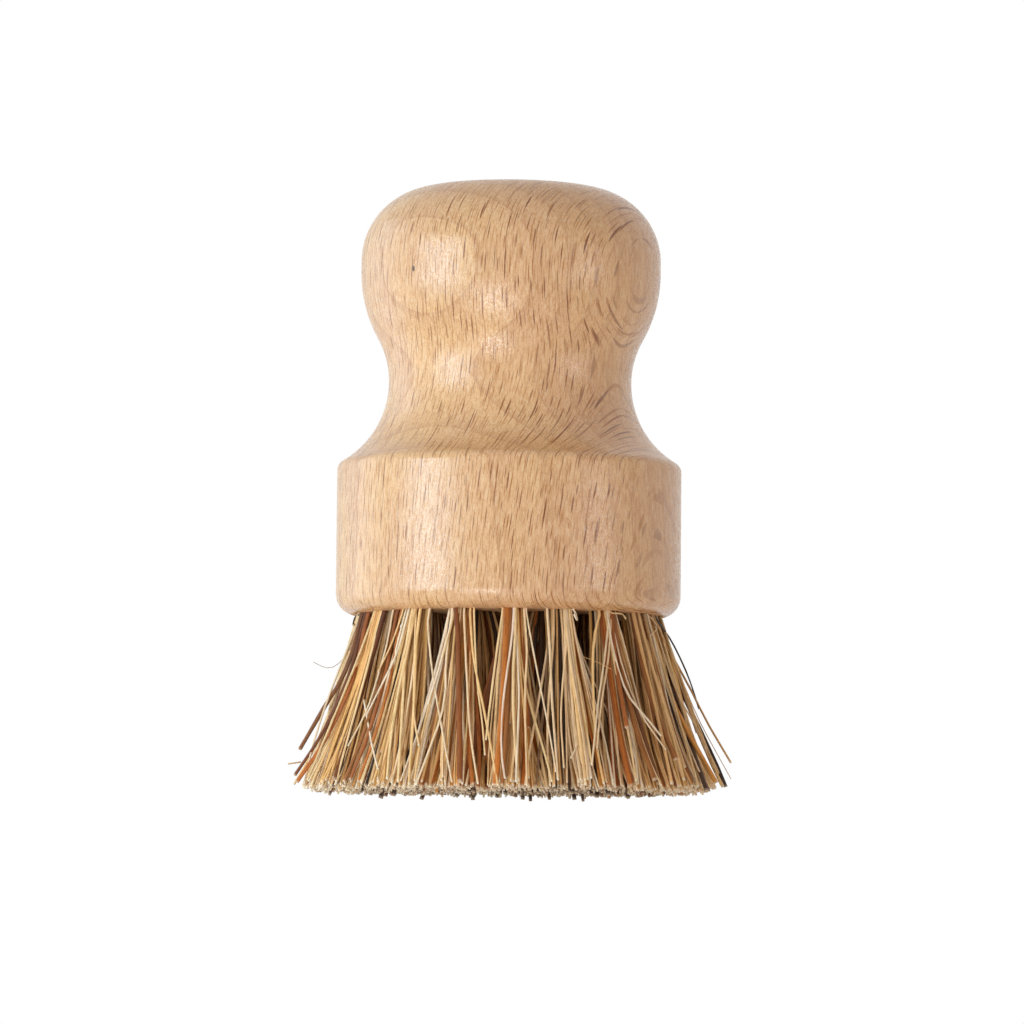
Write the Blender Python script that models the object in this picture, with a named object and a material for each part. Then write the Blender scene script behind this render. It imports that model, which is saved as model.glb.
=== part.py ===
"""A palm brush: a turned beech knob whose round head is filled with tufts of stiff plant fibre.

Run with: blender --background --python part.py, or from Blender's text editor.
Metres, +Z up. The origin is on the turning axis, in the plane of the trimmed fibre tips.

The block is one turned piece. Its underside is drilled with three rings of raked holes. Each hole
holds a tuft that is doubled over a flat steel anchor, so that both ends of every fibre point down.
"""

import math
import random

import bmesh
import bpy
from mathutils import Matrix, Vector

# The turned block, from the underside up
HEAD_DIAMETER = 0.0570
HEAD_EDGE_RADIUS = 0.0034
HEAD_SIDE_LENGTH = 0.0239
FLARE_LENGTH = 0.0148
SHOULDER_SHARE = 0.10
WAIST_DIAMETER = 0.0402
NECK_LENGTH = 0.0182
NECK_SHARE = 0.60
KNOB_DIAMETER = 0.0497
KNOB_BAND_LENGTH = 0.0019
KNOB_CORNER_RADIUS = 0.0122
KNOB_CROWN_RADIUS = 0.1270

# The drilled holes
HOLE_DIAMETER = 0.0047
HOLE_DEPTH = 0.0120
DRILL_POINT_LENGTH = 0.0008
RIM_WALL = 0.00285
RING_PITCH = 0.0084
RING_TURN = math.radians(1.8)
RAKE_APEX_HEIGHT = 0.0880
TUFTS_IN_RING = {"outer": 18, "middle": 8, "inner": 3}

# The tufts
FIBRE_LENGTH = 0.0287
TUFT_CLEARANCE = 0.0002
STRANDS_IN_TUFT = {"outer": 13, "middle": 13, "inner": 15}
STRAND_RADIUS = 0.00033
STRAND_TIP_RADIUS = 0.00066
STRAND_GAP = 0.0003
ROOT_SHOW = 0.0003
FOLD_ROUNDING = 0.0007
TRIM_CROWN_REACH = 0.0315
TRIM_CROWN_SLOPE = 0.35
BEND_POINT = 0.45
BEND_SPREAD = 0.36

# The anchors
ANCHOR_THICKNESS = 0.0004
ANCHOR_HEIGHT = 0.0018
ANCHOR_END_GAP = 0.00015
ANCHOR_SLOT_GAP = 0.00015
FOLD_THICKNESS = 0.0010

# How finely round shapes are divided
BLOCK_SIDES = 48
ARC_STEP = math.radians(11)
HOLE_SIDES = 8
TUFT_SIDES = 8
STRAND_SIDES = 3

HEAD_RADIUS = HEAD_DIAMETER / 2
WAIST_RADIUS = WAIST_DIAMETER / 2
KNOB_RADIUS = KNOB_DIAMETER / 2
HOLE_RADIUS = HOLE_DIAMETER / 2
TUFT_RADIUS = HOLE_RADIUS - TUFT_CLEARANCE
UNDERSIDE = FIBRE_LENGTH
OUTER_RING_RADIUS = HEAD_RADIUS - RIM_WALL - HOLE_RADIUS
SPREAD_AT_TIPS = 1 + FIBRE_LENGTH / RAKE_APEX_HEIGHT
GOLDEN_ANGLE = math.pi * (3 - math.sqrt(5))


def clear_scene():
    """Removes whatever the file holds, so that only the brush is left."""
    for obj in list(bpy.data.objects):
        bpy.data.objects.remove(obj)


def material(name, colour, roughness, metallic=0.0):
    """A plain Principled material."""
    made = bpy.data.materials.new(name)
    made.use_nodes = True
    shader = made.node_tree.nodes["Principled BSDF"]
    shader.inputs["Base Color"].default_value = (*colour, 1.0)
    shader.inputs["Roughness"].default_value = roughness
    shader.inputs["Metallic"].default_value = metallic
    made.diffuse_color = (*colour, 1.0)
    return made


def object_from(bm, name, materials):
    """Turns a bmesh into a named object in the scene."""
    bmesh.ops.recalc_face_normals(bm, faces=bm.faces)
    mesh = bpy.data.meshes.new(name)
    bm.to_mesh(mesh)
    bm.free()
    for made in materials:
        mesh.materials.append(made)
    obj = bpy.data.objects.new(name, mesh)
    bpy.context.scene.collection.objects.link(obj)
    return obj


def make_cutter(obj):
    """Leaves a helper out of the brush: it only removes material."""
    obj.hide_render = True
    obj.display_type = "WIRE"
    return obj


def cut(obj, cutter):
    """Removes the cutter's shape from the object with an exact Boolean."""
    modifier = obj.modifiers.new("cut", "BOOLEAN")
    modifier.operation = "DIFFERENCE"
    modifier.solver = "EXACT"
    modifier.object = cutter


def arc(centre, radius, start, end):
    """Points of an arc in the (radius, height) plane, both ends included."""
    steps = max(1, math.ceil(abs(end - start) / ARC_STEP))
    angles = [start + (end - start) * i / steps for i in range(steps + 1)]
    return [(centre[0] + radius * math.cos(a), centre[1] + radius * math.sin(a)) for a in angles]


def s_curve(low, high, low_share):
    """Two arcs that join two upright stretches of a turned profile.

    low and high are (radius, height) points. low_share is the lower arc's part of the curve.
    """
    step = high[0] - low[0]
    rise = high[1] - low[1]
    if abs(step) < 1e-6:
        return [low, high]
    turn = 2 * math.atan2(abs(step), rise)
    both = rise / math.sin(turn)
    low_radius = both * low_share
    high_radius = both - low_radius
    if step > 0:
        lower = arc((low[0] + low_radius, low[1]), low_radius, math.pi, math.pi - turn)
        upper = arc((high[0] - high_radius, high[1]), high_radius, -turn, 0)
    else:
        lower = arc((low[0] - low_radius, low[1]), low_radius, 0, turn)
        upper = arc((high[0] + high_radius, high[1]), high_radius, math.pi + turn, math.pi)
    return lower + upper[1:]


def block_profile():
    """The block's outline from the underside's rim up to the crown, as (radius, height) points."""
    edge_radius = min(HEAD_EDGE_RADIUS, HEAD_SIDE_LENGTH)
    edge_centre = (HEAD_RADIUS - edge_radius, UNDERSIDE + edge_radius)
    shoulder = (HEAD_RADIUS, UNDERSIDE + HEAD_SIDE_LENGTH)
    waist = (WAIST_RADIUS, shoulder[1] + FLARE_LENGTH)
    knob_low = (KNOB_RADIUS, waist[1] + NECK_LENGTH)
    knob_high = (KNOB_RADIUS, knob_low[1] + KNOB_BAND_LENGTH)

    corner_radius = min(KNOB_CORNER_RADIUS, KNOB_RADIUS)
    corner_centre = (KNOB_RADIUS - corner_radius, knob_high[1])
    crown_drop = math.sqrt((KNOB_CROWN_RADIUS - corner_radius) ** 2 - corner_centre[0] ** 2)
    crown_centre = (0.0, corner_centre[1] - crown_drop)
    meet = math.atan2(crown_drop, corner_centre[0])
    crown_top = (0.0, crown_centre[1] + KNOB_CROWN_RADIUS)

    points = arc(edge_centre, edge_radius, -math.pi / 2, 0)
    points += s_curve(shoulder, waist, SHOULDER_SHARE)
    points += s_curve(waist, knob_low, 1 - NECK_SHARE)[1:]
    points += arc(corner_centre, corner_radius, 0, meet)
    crown_halfway = (meet + math.pi / 2) / 2
    points.append(
        (
            crown_centre[0] + KNOB_CROWN_RADIUS * math.cos(crown_halfway),
            crown_centre[1] + KNOB_CROWN_RADIUS * math.sin(crown_halfway),
        )
    )
    points.append(crown_top)
    return points


def turned(profile):
    """A bmesh of the profile turned about the Z axis and closed by a flat disc at its foot."""
    bm = bmesh.new()
    outline = [bm.verts.new((radius, 0, height)) for radius, height in profile]
    edges = [bm.edges.new(pair) for pair in zip(outline, outline[1:])]
    bmesh.ops.spin(
        bm,
        geom=outline + edges,
        cent=(0, 0, 0),
        axis=(0, 0, 1),
        angle=2 * math.pi,
        steps=BLOCK_SIDES,
        use_merge=True,
    )
    bmesh.ops.remove_doubles(bm, verts=bm.verts, dist=1e-6)
    rim = [edge for edge in bm.edges if edge.is_boundary]
    bmesh.ops.contextual_create(bm, geom=rim)
    return bm


def hole_axes():
    """(ring, number, mouth, upward direction) of each drilled hole.

    All the holes aim at one point high on the turning axis, so the outer ones are raked most. Every
    other ring is turned by half a step, so that its tufts stand behind the gaps of the ring outside.
    """
    apex = Vector((0, 0, UNDERSIDE + RAKE_APEX_HEIGHT))
    found = []
    for ring_number, (ring, count) in enumerate(TUFTS_IN_RING.items()):
        ring_radius = OUTER_RING_RADIUS - ring_number * RING_PITCH
        stagger = (ring_number % 2) / 2
        for number in range(count):
            angle = 2 * math.pi * (number + stagger) / count - math.pi / 2 + RING_TURN
            mouth = Vector(
                (ring_radius * math.cos(angle), ring_radius * math.sin(angle), UNDERSIDE)
            )
            found.append((ring, number + 1, mouth, (apex - mouth).normalized()))
    return found


def facing(direction):
    """The rotation that turns +Z to this direction and keeps a horizontal X axis."""
    side = Vector((-direction.y, direction.x, 0))
    side = side.normalized() if side.length > 1e-9 else Vector((1, 0, 0))
    other = direction.cross(side)
    return Matrix((side, other, direction)).transposed().to_4x4()


def drill_cutter():
    """All the drilled holes as one cutter: round bores with a shallow point."""
    bm = bmesh.new()
    for _, _, mouth, upward in hole_axes():
        place = Matrix.Translation(mouth) @ facing(upward)
        start = -HOLE_RADIUS
        rings = []
        for height in (start, HOLE_DEPTH - DRILL_POINT_LENGTH):
            circle = bmesh.ops.create_circle(bm, segments=HOLE_SIDES, radius=HOLE_RADIUS)["verts"]
            bmesh.ops.transform(bm, matrix=place @ Matrix.Translation((0, 0, height)), verts=circle)
            rings.append(circle)
        bm.faces.new(rings[0])
        point = bm.verts.new(place @ Vector((0, 0, HOLE_DEPTH)))
        for i in range(HOLE_SIDES):
            j = (i + 1) % HOLE_SIDES
            bm.faces.new((rings[0][i], rings[0][j], rings[1][j], rings[1][i]))
            bm.faces.new((rings[1][i], rings[1][j], point))
    return make_cutter(object_from(bm, "cutter_drill", []))


def make_block(beech):
    """The turned beech block with its drilled underside."""
    block = object_from(turned(block_profile()), "handle_block", [beech])
    block.data.shade_smooth()
    block.data.set_sharp_from_angle(angle=math.radians(40))
    cut(block, drill_cutter())
    return block


def tip_reach(ring):
    """How far a tuft's strands may stand out from its centre line at the tips, clear of its neighbours.

    The first value is along the brush's radius, and the second is across it, along the ring. The
    oval between them stays in its own ring's band and in its own share of the ring.
    """
    ring_number = list(TUFTS_IN_RING).index(ring)
    ring_radius = (OUTER_RING_RADIUS - ring_number * RING_PITCH) * SPREAD_AT_TIPS
    to_next_ring = RING_PITCH * SPREAD_AT_TIPS / 2
    to_next_tuft = ring_radius * math.sin(math.pi / max(TUFTS_IN_RING[ring], 2))
    within_band = math.sqrt(to_next_ring * (ring_radius + to_next_ring))
    spare = STRAND_TIP_RADIUS + STRAND_GAP / 2
    return to_next_ring - spare, min(to_next_tuft, within_band) - spare


def trim_height(reach):
    """The height of the cut tips this far from the axis: level, then rising a little at the rim."""
    return max(0.0, reach - TRIM_CROWN_REACH) * TRIM_CROWN_SLOPE


def strand_section(centre, radius, turn):
    """The corners of a strand cut level at this centre."""
    corners = [turn + 2 * math.pi * i / STRAND_SIDES for i in range(STRAND_SIDES)]
    return [centre + Vector((radius * math.cos(a), radius * math.sin(a), 0)) for a in corners]


def add_strand(bm, sections, material_index):
    """Adds a strand's sides and its cut tip, and returns the edges of its open root."""
    rings = [[bm.verts.new(corner) for corner in section] for section in sections]
    for low, high in zip(rings, rings[1:]):
        for i in range(STRAND_SIDES):
            j = (i + 1) % STRAND_SIDES
            bm.faces.new((low[i], low[j], high[j], high[i])).material_index = material_index
    bm.faces.new(rings[-1]).material_index = material_index
    return [bm.edges.get((rings[0][i], rings[0][(i + 1) % STRAND_SIDES])) for i in range(STRAND_SIDES)]


def strands(ring, mouth, upward, chance):
    """The three level sections of each strand of a tuft, spaced like the seeds of a sunflower."""
    count = STRANDS_IN_TUFT[ring]
    downward = -upward
    root_height = UNDERSIDE - ROOT_SHOW
    inner_reach = TUFT_RADIUS - STRAND_RADIUS - TUFT_CLEARANCE
    reach_out, reach_across = tip_reach(ring)
    out = Vector((mouth.x, mouth.y, 0)).normalized()
    across = Vector((-out.y, out.x, 0))
    first_turn = chance.uniform(0, 2 * math.pi)
    for number in range(count):
        share = math.sqrt((number + 0.5) / count)
        angle = first_turn + number * GOLDEN_ANGLE
        along_out = out * (share * math.cos(angle))
        along_across = across * (share * math.sin(angle))
        turn = chance.uniform(0, 2 * math.pi)

        def centre_at(height, spread):
            on_axis = mouth + downward * ((height - mouth.z) / downward.z)
            wide_out = inner_reach + (reach_out - inner_reach) * spread
            wide_across = inner_reach + (reach_across - inner_reach) * spread
            return on_axis + along_out * wide_out + along_across * wide_across

        tip_height = trim_height(centre_at(0, 1).xy.length)
        bend_height = root_height + (tip_height - root_height) * BEND_POINT
        bend_radius = STRAND_RADIUS + (STRAND_TIP_RADIUS - STRAND_RADIUS) * BEND_POINT
        yield [
            strand_section(centre_at(root_height, 0), STRAND_RADIUS, turn),
            strand_section(centre_at(bend_height, BEND_SPREAD), bend_radius, turn),
            strand_section(centre_at(tip_height, 1), STRAND_TIP_RADIUS, turn),
        ]


def make_tuft(ring, number, mouth, upward, fibres):
    """One tuft: the packed root that fills its hole, and the strands that fan out below it.

    Tufts on opposite sides are alike, so the brush is balanced about its axis.
    """
    chance = random.Random(f"{ring} {number % (TUFTS_IN_RING[ring] / 2)}")
    bm = bmesh.new()
    root_edges = []
    for sections in strands(ring, mouth, upward, chance):
        root_edges += add_strand(bm, sections, chance.randrange(len(fibres)))

    place = Matrix.Translation(mouth) @ facing(upward)
    crown = HOLE_DEPTH - DRILL_POINT_LENGTH - TUFT_CLEARANCE
    levels = ((TUFT_RADIUS, crown - FOLD_ROUNDING), (TUFT_RADIUS - FOLD_ROUNDING, crown))
    rings = []
    for radius, height in levels:
        circle = bmesh.ops.create_circle(bm, segments=TUFT_SIDES, radius=radius)["verts"]
        bmesh.ops.transform(bm, matrix=place @ Matrix.Translation((0, 0, height)), verts=circle)
        rings.append(circle)
    level_mouth = []
    for corner in rings[0]:
        drop = (corner.co.z - UNDERSIDE + ROOT_SHOW) / upward.z
        level_mouth.append(bm.verts.new(corner.co - upward * drop))
    rings.insert(0, level_mouth)
    for low, high in zip(rings, rings[1:]):
        for i in range(TUFT_SIDES):
            j = (i + 1) % TUFT_SIDES
            bm.faces.new((low[i], low[j], high[j], high[i]))
    bm.faces.new(rings[-1])
    mouth_edges = [
        bm.edges.get((level_mouth[i], level_mouth[(i + 1) % TUFT_SIDES])) for i in range(TUFT_SIDES)
    ]
    bmesh.ops.triangle_fill(bm, edges=mouth_edges + root_edges, use_beauty=True, normal=(0, 0, -1))
    return object_from(bm, f"tuft_{ring}_{number:02d}", fibres)


def anchor_box(bm, place, grow):
    """The anchor's upright plate across its hole, or the slot for it where grow is more than 0."""
    length = HOLE_DIAMETER - 2 * ANCHOR_END_GAP + (HOLE_DIAMETER if grow else 0)
    top = HOLE_DEPTH - DRILL_POINT_LENGTH - TUFT_CLEARANCE - FOLD_THICKNESS
    size = (length, ANCHOR_THICKNESS + 2 * grow, ANCHOR_HEIGHT + 2 * grow)
    middle = Matrix.Translation((0, 0, top - ANCHOR_HEIGHT / 2))
    bmesh.ops.create_cube(bm, size=1, matrix=place @ middle @ Matrix.Diagonal((*size, 1)))


def make_anchor(ring, number, mouth, upward, steel):
    """The flat steel anchor that holds a tuft in its hole."""
    bm = bmesh.new()
    anchor_box(bm, Matrix.Translation(mouth) @ facing(upward), 0)
    return object_from(bm, f"anchor_{ring}_{number:02d}", [steel])


def make_slot_cutter(ring, number, mouth, upward):
    """The room that the anchor takes up in the folded root of its tuft."""
    bm = bmesh.new()
    anchor_box(bm, Matrix.Translation(mouth) @ facing(upward), ANCHOR_SLOT_GAP)
    return make_cutter(object_from(bm, f"cutter_slot_{ring}_{number:02d}", []))


def main():
    clear_scene()
    beech = material("beech", (0.70, 0.46, 0.28), 0.45)
    steel = material("anchor_steel", (0.55, 0.55, 0.56), 0.35, 1.0)
    fibres = [
        material("pale_fibre", (0.72, 0.55, 0.30), 0.55),
        material("golden_fibre", (0.58, 0.34, 0.12), 0.5),
        material("brown_fibre", (0.20, 0.08, 0.035), 0.5),
    ]
    make_block(beech)
    for ring, number, mouth, upward in hole_axes():
        tuft = make_tuft(ring, number, mouth, upward, fibres)
        cut(tuft, make_slot_cutter(ring, number, mouth, upward))
        make_anchor(ring, number, mouth, upward, steel)


main()
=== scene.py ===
"""How the palm brush looks: a turned beech knob filled with tufts of mixed plant fibre.

The camera looks along +Y, +Z is up, and the brush stands on its fibre tips at about z = 0. Sizes are
written in mm unless a comment says otherwise, and MM turns them into the scene's metres.
"""

import math

import bmesh
import bpy
import numpy as np
from mathutils import Matrix, Vector


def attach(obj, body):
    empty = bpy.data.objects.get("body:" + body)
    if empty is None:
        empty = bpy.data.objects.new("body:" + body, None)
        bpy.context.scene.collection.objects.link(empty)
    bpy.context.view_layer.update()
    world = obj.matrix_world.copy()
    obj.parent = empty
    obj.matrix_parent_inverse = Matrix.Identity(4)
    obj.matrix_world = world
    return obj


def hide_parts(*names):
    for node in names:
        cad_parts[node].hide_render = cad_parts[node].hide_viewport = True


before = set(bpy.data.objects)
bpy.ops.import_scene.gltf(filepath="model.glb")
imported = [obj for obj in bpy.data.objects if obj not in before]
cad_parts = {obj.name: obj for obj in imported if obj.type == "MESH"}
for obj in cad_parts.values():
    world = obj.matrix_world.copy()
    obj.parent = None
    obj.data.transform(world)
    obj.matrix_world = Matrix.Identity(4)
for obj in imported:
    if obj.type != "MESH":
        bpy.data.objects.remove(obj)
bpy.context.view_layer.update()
MM = 0.001

# The camera
# The photograph is a long-lens view from a little below the fibre tips, so the cut ends show as a
# thin band and the underside of the head is just hidden.

PICTURE_SIDE = 1024
SENSOR_SIDE = 36.0
FOCAL_PIXELS = 5694.0
CAMERA_PLACE = (0.5, -940.0, -22.2)
CAMERA_PITCH = math.radians(4.15)
CAMERA_ROLL = math.radians(0.5)


def placed(name, data):
    """A new object in the scene."""
    thing = bpy.data.objects.new(name, data)
    bpy.context.scene.collection.objects.link(thing)
    return thing


camera_data = bpy.data.cameras.new("camera")
camera_data.sensor_width = SENSOR_SIDE
camera_data.lens = FOCAL_PIXELS * SENSOR_SIDE / PICTURE_SIDE
camera = placed("camera", camera_data)
camera.location = [value * MM for value in CAMERA_PLACE]
pitched = Matrix.Rotation(math.pi / 2 + CAMERA_PITCH, 3, "X")
camera.rotation_euler = (pitched @ Matrix.Rotation(CAMERA_ROLL, 3, "Z")).to_euler()
bpy.context.scene.camera = camera
bpy.context.scene.view_settings.view_transform = "Standard"

# Light, world and floor
# Two large soft lights stand on the left, a smaller and weaker one on the right, and a reflector low
# in front. All round is white, and the floor is a pale sheet that only shows seen from above.

BRUSH_MIDDLE = Vector((0, 0, 55 * MM))
# Azimuth in degrees from the camera's side, then height, distance, width and tallness in metres, the
# power in watts, and the colour.
LIGHTS = {
    "left_softbox": (-56, 0.105, 1.80, 1.00, 1.12, 23.2, (0.68, 0.85, 1.0)),
    "left_wall": (-114, 0.16, 1.80, 1.31, 1.96, 11.5, (0.60, 0.78, 1.0)),
    "right_softbox": (61, 0.025, 1.80, 0.52, 0.62, 4.1, (1.0, 0.92, 0.92)),
    "low_reflector": (-16, -0.30, 0.72, 0.26, 0.32, 1.95, (0.96, 0.97, 1.0)),
}
# The light that the room throws back: its colour, its strength from the sides, and how much is added
# straight above and straight below.
FILL_COLOUR = (1.0, 0.915, 0.85, 1)
FILL_LEVEL = 0.265
FILL_ADDED = 0.24
FLOOR_REACH = 4000.0
FLOOR_HEIGHT = -1.8
FLOOR_COLOUR = (0.93, 0.93, 0.925, 1)

for name, (azimuth, height, distance, width, tall, power, colour) in LIGHTS.items():
    light = bpy.data.lights.new(name, "AREA")
    light.shape = "RECTANGLE"
    light.size = width
    light.size_y = tall
    light.energy = power
    light.color = colour
    lamp = placed(name, light)
    turn = math.radians(azimuth)
    lamp.location = (math.sin(turn) * distance, -math.cos(turn) * distance, height)
    lamp.rotation_euler = (BRUSH_MIDDLE - lamp.location).to_track_quat("-Z", "Y").to_euler()
    lamp.visible_camera = False


def set_inputs(node, inputs):
    """Links each input of a node that is given a socket, and sets the others."""
    for name, value in inputs.items():
        if isinstance(value, bpy.types.NodeSocket):
            tree.links.new(value, node.inputs[name])
        else:
            node.inputs[name].default_value = value


def add_node(kind, inputs=None, **settings):
    """Adds a node with these inputs and settings to the tree in hand, and gives its outputs."""
    node = tree.nodes.new("ShaderNode" + kind)
    for name, value in settings.items():
        setattr(node, name, value)
    set_inputs(node, inputs or {})
    return node.outputs


def calc(operation, *values):
    """One step of arithmetic on numbers or sockets."""
    return add_node("Math", dict(enumerate(values)), operation=operation)[0]


def times(first, second):
    """The product of two numbers or sockets."""
    return calc("MULTIPLY", first, second)


world = bpy.data.worlds.new("white_room")
bpy.context.scene.world = world
world.use_nodes = True
tree = world.node_tree
tree.nodes.clear()
rays = add_node("LightPath")
mirrored = calc("MAXIMUM", rays["Is Glossy Ray"], rays["Is Transmission Ray"])
seen = calc("MAXIMUM", rays["Is Camera Ray"], mirrored)
upward_part = add_node("SeparateXYZ", {0: add_node("TexCoord")["Generated"]})[2]
fill_level = calc("MULTIPLY_ADD", times(upward_part, upward_part), FILL_ADDED, FILL_LEVEL)
fill = add_node("Background", {"Color": FILL_COLOUR, "Strength": fill_level})[0]
white = add_node("Background", {"Color": (1, 1, 1, 1), "Strength": 1.0})[0]
add_node("OutputWorld", {"Surface": add_node("MixShader", {0: seen, 1: fill, 2: white})[0]})

floor_mesh = bpy.data.meshes.new("floor")
reach, height = FLOOR_REACH * MM, FLOOR_HEIGHT * MM
corners = [(x * reach, y * reach, height) for x, y in ((-1, -1), (1, -1), (1, 1), (-1, 1))]
floor_mesh.from_pydata(corners, [], [(0, 1, 2, 3)])
floor = placed("floor", floor_mesh)
floor_paint = bpy.data.materials.new("pale_floor")
floor_paint.use_nodes = True
tree = floor_paint.node_tree
tree.nodes.clear()
from_below = add_node("NewGeometry")["Backfacing"]
from_above = times(add_node("LightPath")["Is Camera Ray"], calc("SUBTRACT", 1.0, from_below))
paper = add_node("BsdfDiffuse", {"Color": FLOOR_COLOUR})[0]
clear = add_node("BsdfTransparent")[0]
surface = add_node("MixShader", {0: from_above, 1: clear, 2: paper})[0]
add_node("OutputMaterial", {"Surface": surface})
floor_mesh.materials.append(floor_paint)

# The block
# One piece of beech turned between centres, sanded and lightly waxed: a domed knob for the palm, a
# waist, and a round head. Its underside is drilled with three rings of raked holes.

UNDERSIDE = 28.7
EDGE_RADIUS = 3.4
HEAD_RADIUS = 28.5
SHOULDER_HEIGHT = 52.6
WAIST_RADIUS = 20.1
WAIST_HEIGHT = 67.4
KNOB_RADIUS = 24.85
# The knob is at its widest between these heights.
KNOB_BAND = (85.6, 87.5)
CORNER_RADIUS = 12.2
CROWN_RADIUS = 127.0
# Two arcs join each pair of upright stretches. This is the lower one's share of their radii.
SHOULDER_SHARE = 0.10
NECK_SHARE = 0.40
BLOCK_SIDES = 192
HOLE_RADIUS = 2.35
HOLE_DEPTH = 12.0
DRILL_POINT = 0.8
DRILL_SIDES = 28
OUTER_RING = 23.3
RING_PITCH = 8.4
RING_TURN = math.radians(1.8)
RAKE_APEX = 88.0
TUFTS_IN_RING = {"outer": 18, "middle": 8, "inner": 3}
SHARP_ANGLE = math.radians(40)


def arc(centre, radius, start, end, steps):
    """Points of an arc in the (radius, height) plane, both ends included."""
    angles = np.linspace(start, end, steps)
    return [(centre[0] + radius * math.cos(a), centre[1] + radius * math.sin(a)) for a in angles]


def s_curve(low, high, low_share, steps):
    """Two arcs that join two upright stretches of the turned outline."""
    step = high[0] - low[0]
    rise = high[1] - low[1]
    turn = 2 * math.atan2(abs(step), rise)
    both = rise / math.sin(turn)
    below, above = both * low_share, both * (1 - low_share)
    few = max(5, round(steps * low_share))
    many = max(5, round(steps * (1 - low_share)))
    if step > 0:
        lower = arc((low[0] + below, low[1]), below, math.pi, math.pi - turn, few)
        upper = arc((high[0] - above, high[1]), above, -turn, 0, many)
    else:
        lower = arc((low[0] - below, low[1]), below, 0, turn, few)
        upper = arc((high[0] + above, high[1]), above, math.pi + turn, math.pi, many)
    return lower + upper[1:]


def block_outline():
    """The block's outline from the underside's rim to the crown."""
    rim = (HEAD_RADIUS - EDGE_RADIUS, UNDERSIDE + EDGE_RADIUS)
    points = arc(rim, EDGE_RADIUS, -math.pi / 2, 0, 12)
    # A few points up the head's straight side.
    points += [(HEAD_RADIUS, rim[1] + rise) for rise in (4.0, 8.0, 12.0, 16.0)]
    waist = (WAIST_RADIUS, WAIST_HEIGHT)
    points += s_curve((HEAD_RADIUS, SHOULDER_HEIGHT), waist, SHOULDER_SHARE, 30)
    points += s_curve(waist, (KNOB_RADIUS, KNOB_BAND[0]), NECK_SHARE, 26)[1:]
    corner = (KNOB_RADIUS - CORNER_RADIUS, KNOB_BAND[1])
    drop = math.sqrt((CROWN_RADIUS - CORNER_RADIUS) ** 2 - corner[0] ** 2)
    meet = math.atan2(drop, corner[0])
    points += arc(corner, CORNER_RADIUS, 0, meet, 22)
    points += arc((0.0, corner[1] - drop), CROWN_RADIUS, meet, math.pi / 2, 8)[1:]
    return points


def hole_axes():
    """(node ending, mouth, upward direction) of each drilled hole."""
    found = []
    apex = Vector((0, 0, UNDERSIDE + RAKE_APEX))
    for place, (ring, count) in enumerate(TUFTS_IN_RING.items()):
        radius = OUTER_RING - place * RING_PITCH
        stagger = (place % 2) / 2
        for number in range(count):
            angle = 2 * math.pi * (number + stagger) / count - math.pi / 2 + RING_TURN
            mouth = Vector((radius * math.cos(angle), radius * math.sin(angle), UNDERSIDE))
            found.append((f"{ring}_{number + 1:02d}", mouth, (apex - mouth).normalized()))
    return found


def finished_mesh(bm, name):
    """Turns a bmesh into a mesh whose faces all look outward."""
    bmesh.ops.recalc_face_normals(bm, faces=bm.faces)
    mesh = bpy.data.meshes.new(name)
    bm.to_mesh(mesh)
    bm.free()
    return mesh


outline = block_outline()
bm = bmesh.new()
chain = [bm.verts.new((radius * MM, 0, height * MM)) for radius, height in outline[:-1]]
chain.append(bm.verts.new((0, 0, outline[-1][1] * MM)))
profile = chain + [bm.edges.new(pair) for pair in zip(chain, chain[1:])]
full_turn = {"cent": (0, 0, 0), "axis": (0, 0, 1), "angle": 2 * math.pi}
bmesh.ops.spin(bm, geom=profile, steps=BLOCK_SIDES, use_merge=True, **full_turn)
bmesh.ops.remove_doubles(bm, verts=bm.verts, dist=1e-7)
bmesh.ops.contextual_create(bm, geom=[edge for edge in bm.edges if edge.is_boundary])
block = placed("beech_block", finished_mesh(bm, "beech_block"))

# The drill has a blunt point, and its other end stays below the underside.
bm = bmesh.new()
for _, mouth, upward in hole_axes():
    stand = Matrix.Translation(mouth * MM) @ upward.to_track_quat("Z", "Y").to_matrix().to_4x4()
    rings = []
    for level in (-HOLE_RADIUS * MM, (HOLE_DEPTH - DRILL_POINT) * MM):
        circle = bmesh.ops.create_circle(bm, segments=DRILL_SIDES, radius=HOLE_RADIUS * MM)["verts"]
        bmesh.ops.transform(bm, matrix=stand @ Matrix.Translation((0, 0, level)), verts=circle)
        rings.append(circle)
    point = bm.verts.new(stand @ Vector((0, 0, HOLE_DEPTH * MM)))
    bm.faces.new(rings[0])
    for i in range(DRILL_SIDES):
        j = (i + 1) % DRILL_SIDES
        bm.faces.new((rings[0][i], rings[0][j], rings[1][j], rings[1][i]))
        bm.faces.new((rings[1][i], rings[1][j], point))
drill = placed("drill", finished_mesh(bm, "drill"))
modifier = block.modifiers.new("holes", "BOOLEAN")
modifier.operation = "DIFFERENCE"
modifier.solver = "EXACT"
modifier.object = drill
bpy.context.view_layer.update()
bored = block.evaluated_get(bpy.context.evaluated_depsgraph_get())
drilled = bpy.data.meshes.new_from_object(bored)
block.modifiers.clear()
block.data = drilled
bpy.data.objects.remove(drill)
drilled.shade_smooth()
drilled.set_sharp_from_angle(angle=SHARP_ANGLE)

# The wood's own directions: the year rings lie across RADIAL, the rays run along it, and the fibres
# run along GRAIN, which leans a little to the right.
GRAIN = Vector((0.07, -0.08, 1.0)).normalized()
RADIAL = Vector((math.sin(math.radians(29)), math.cos(math.radians(29)), 0))
RADIAL = (RADIAL - GRAIN * RADIAL.dot(GRAIN)).normalized()
ACROSS = GRAIN.cross(RADIAL)
PITH_DEPTH = 74.0
YEAR_WIDTH = 3.8

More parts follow.
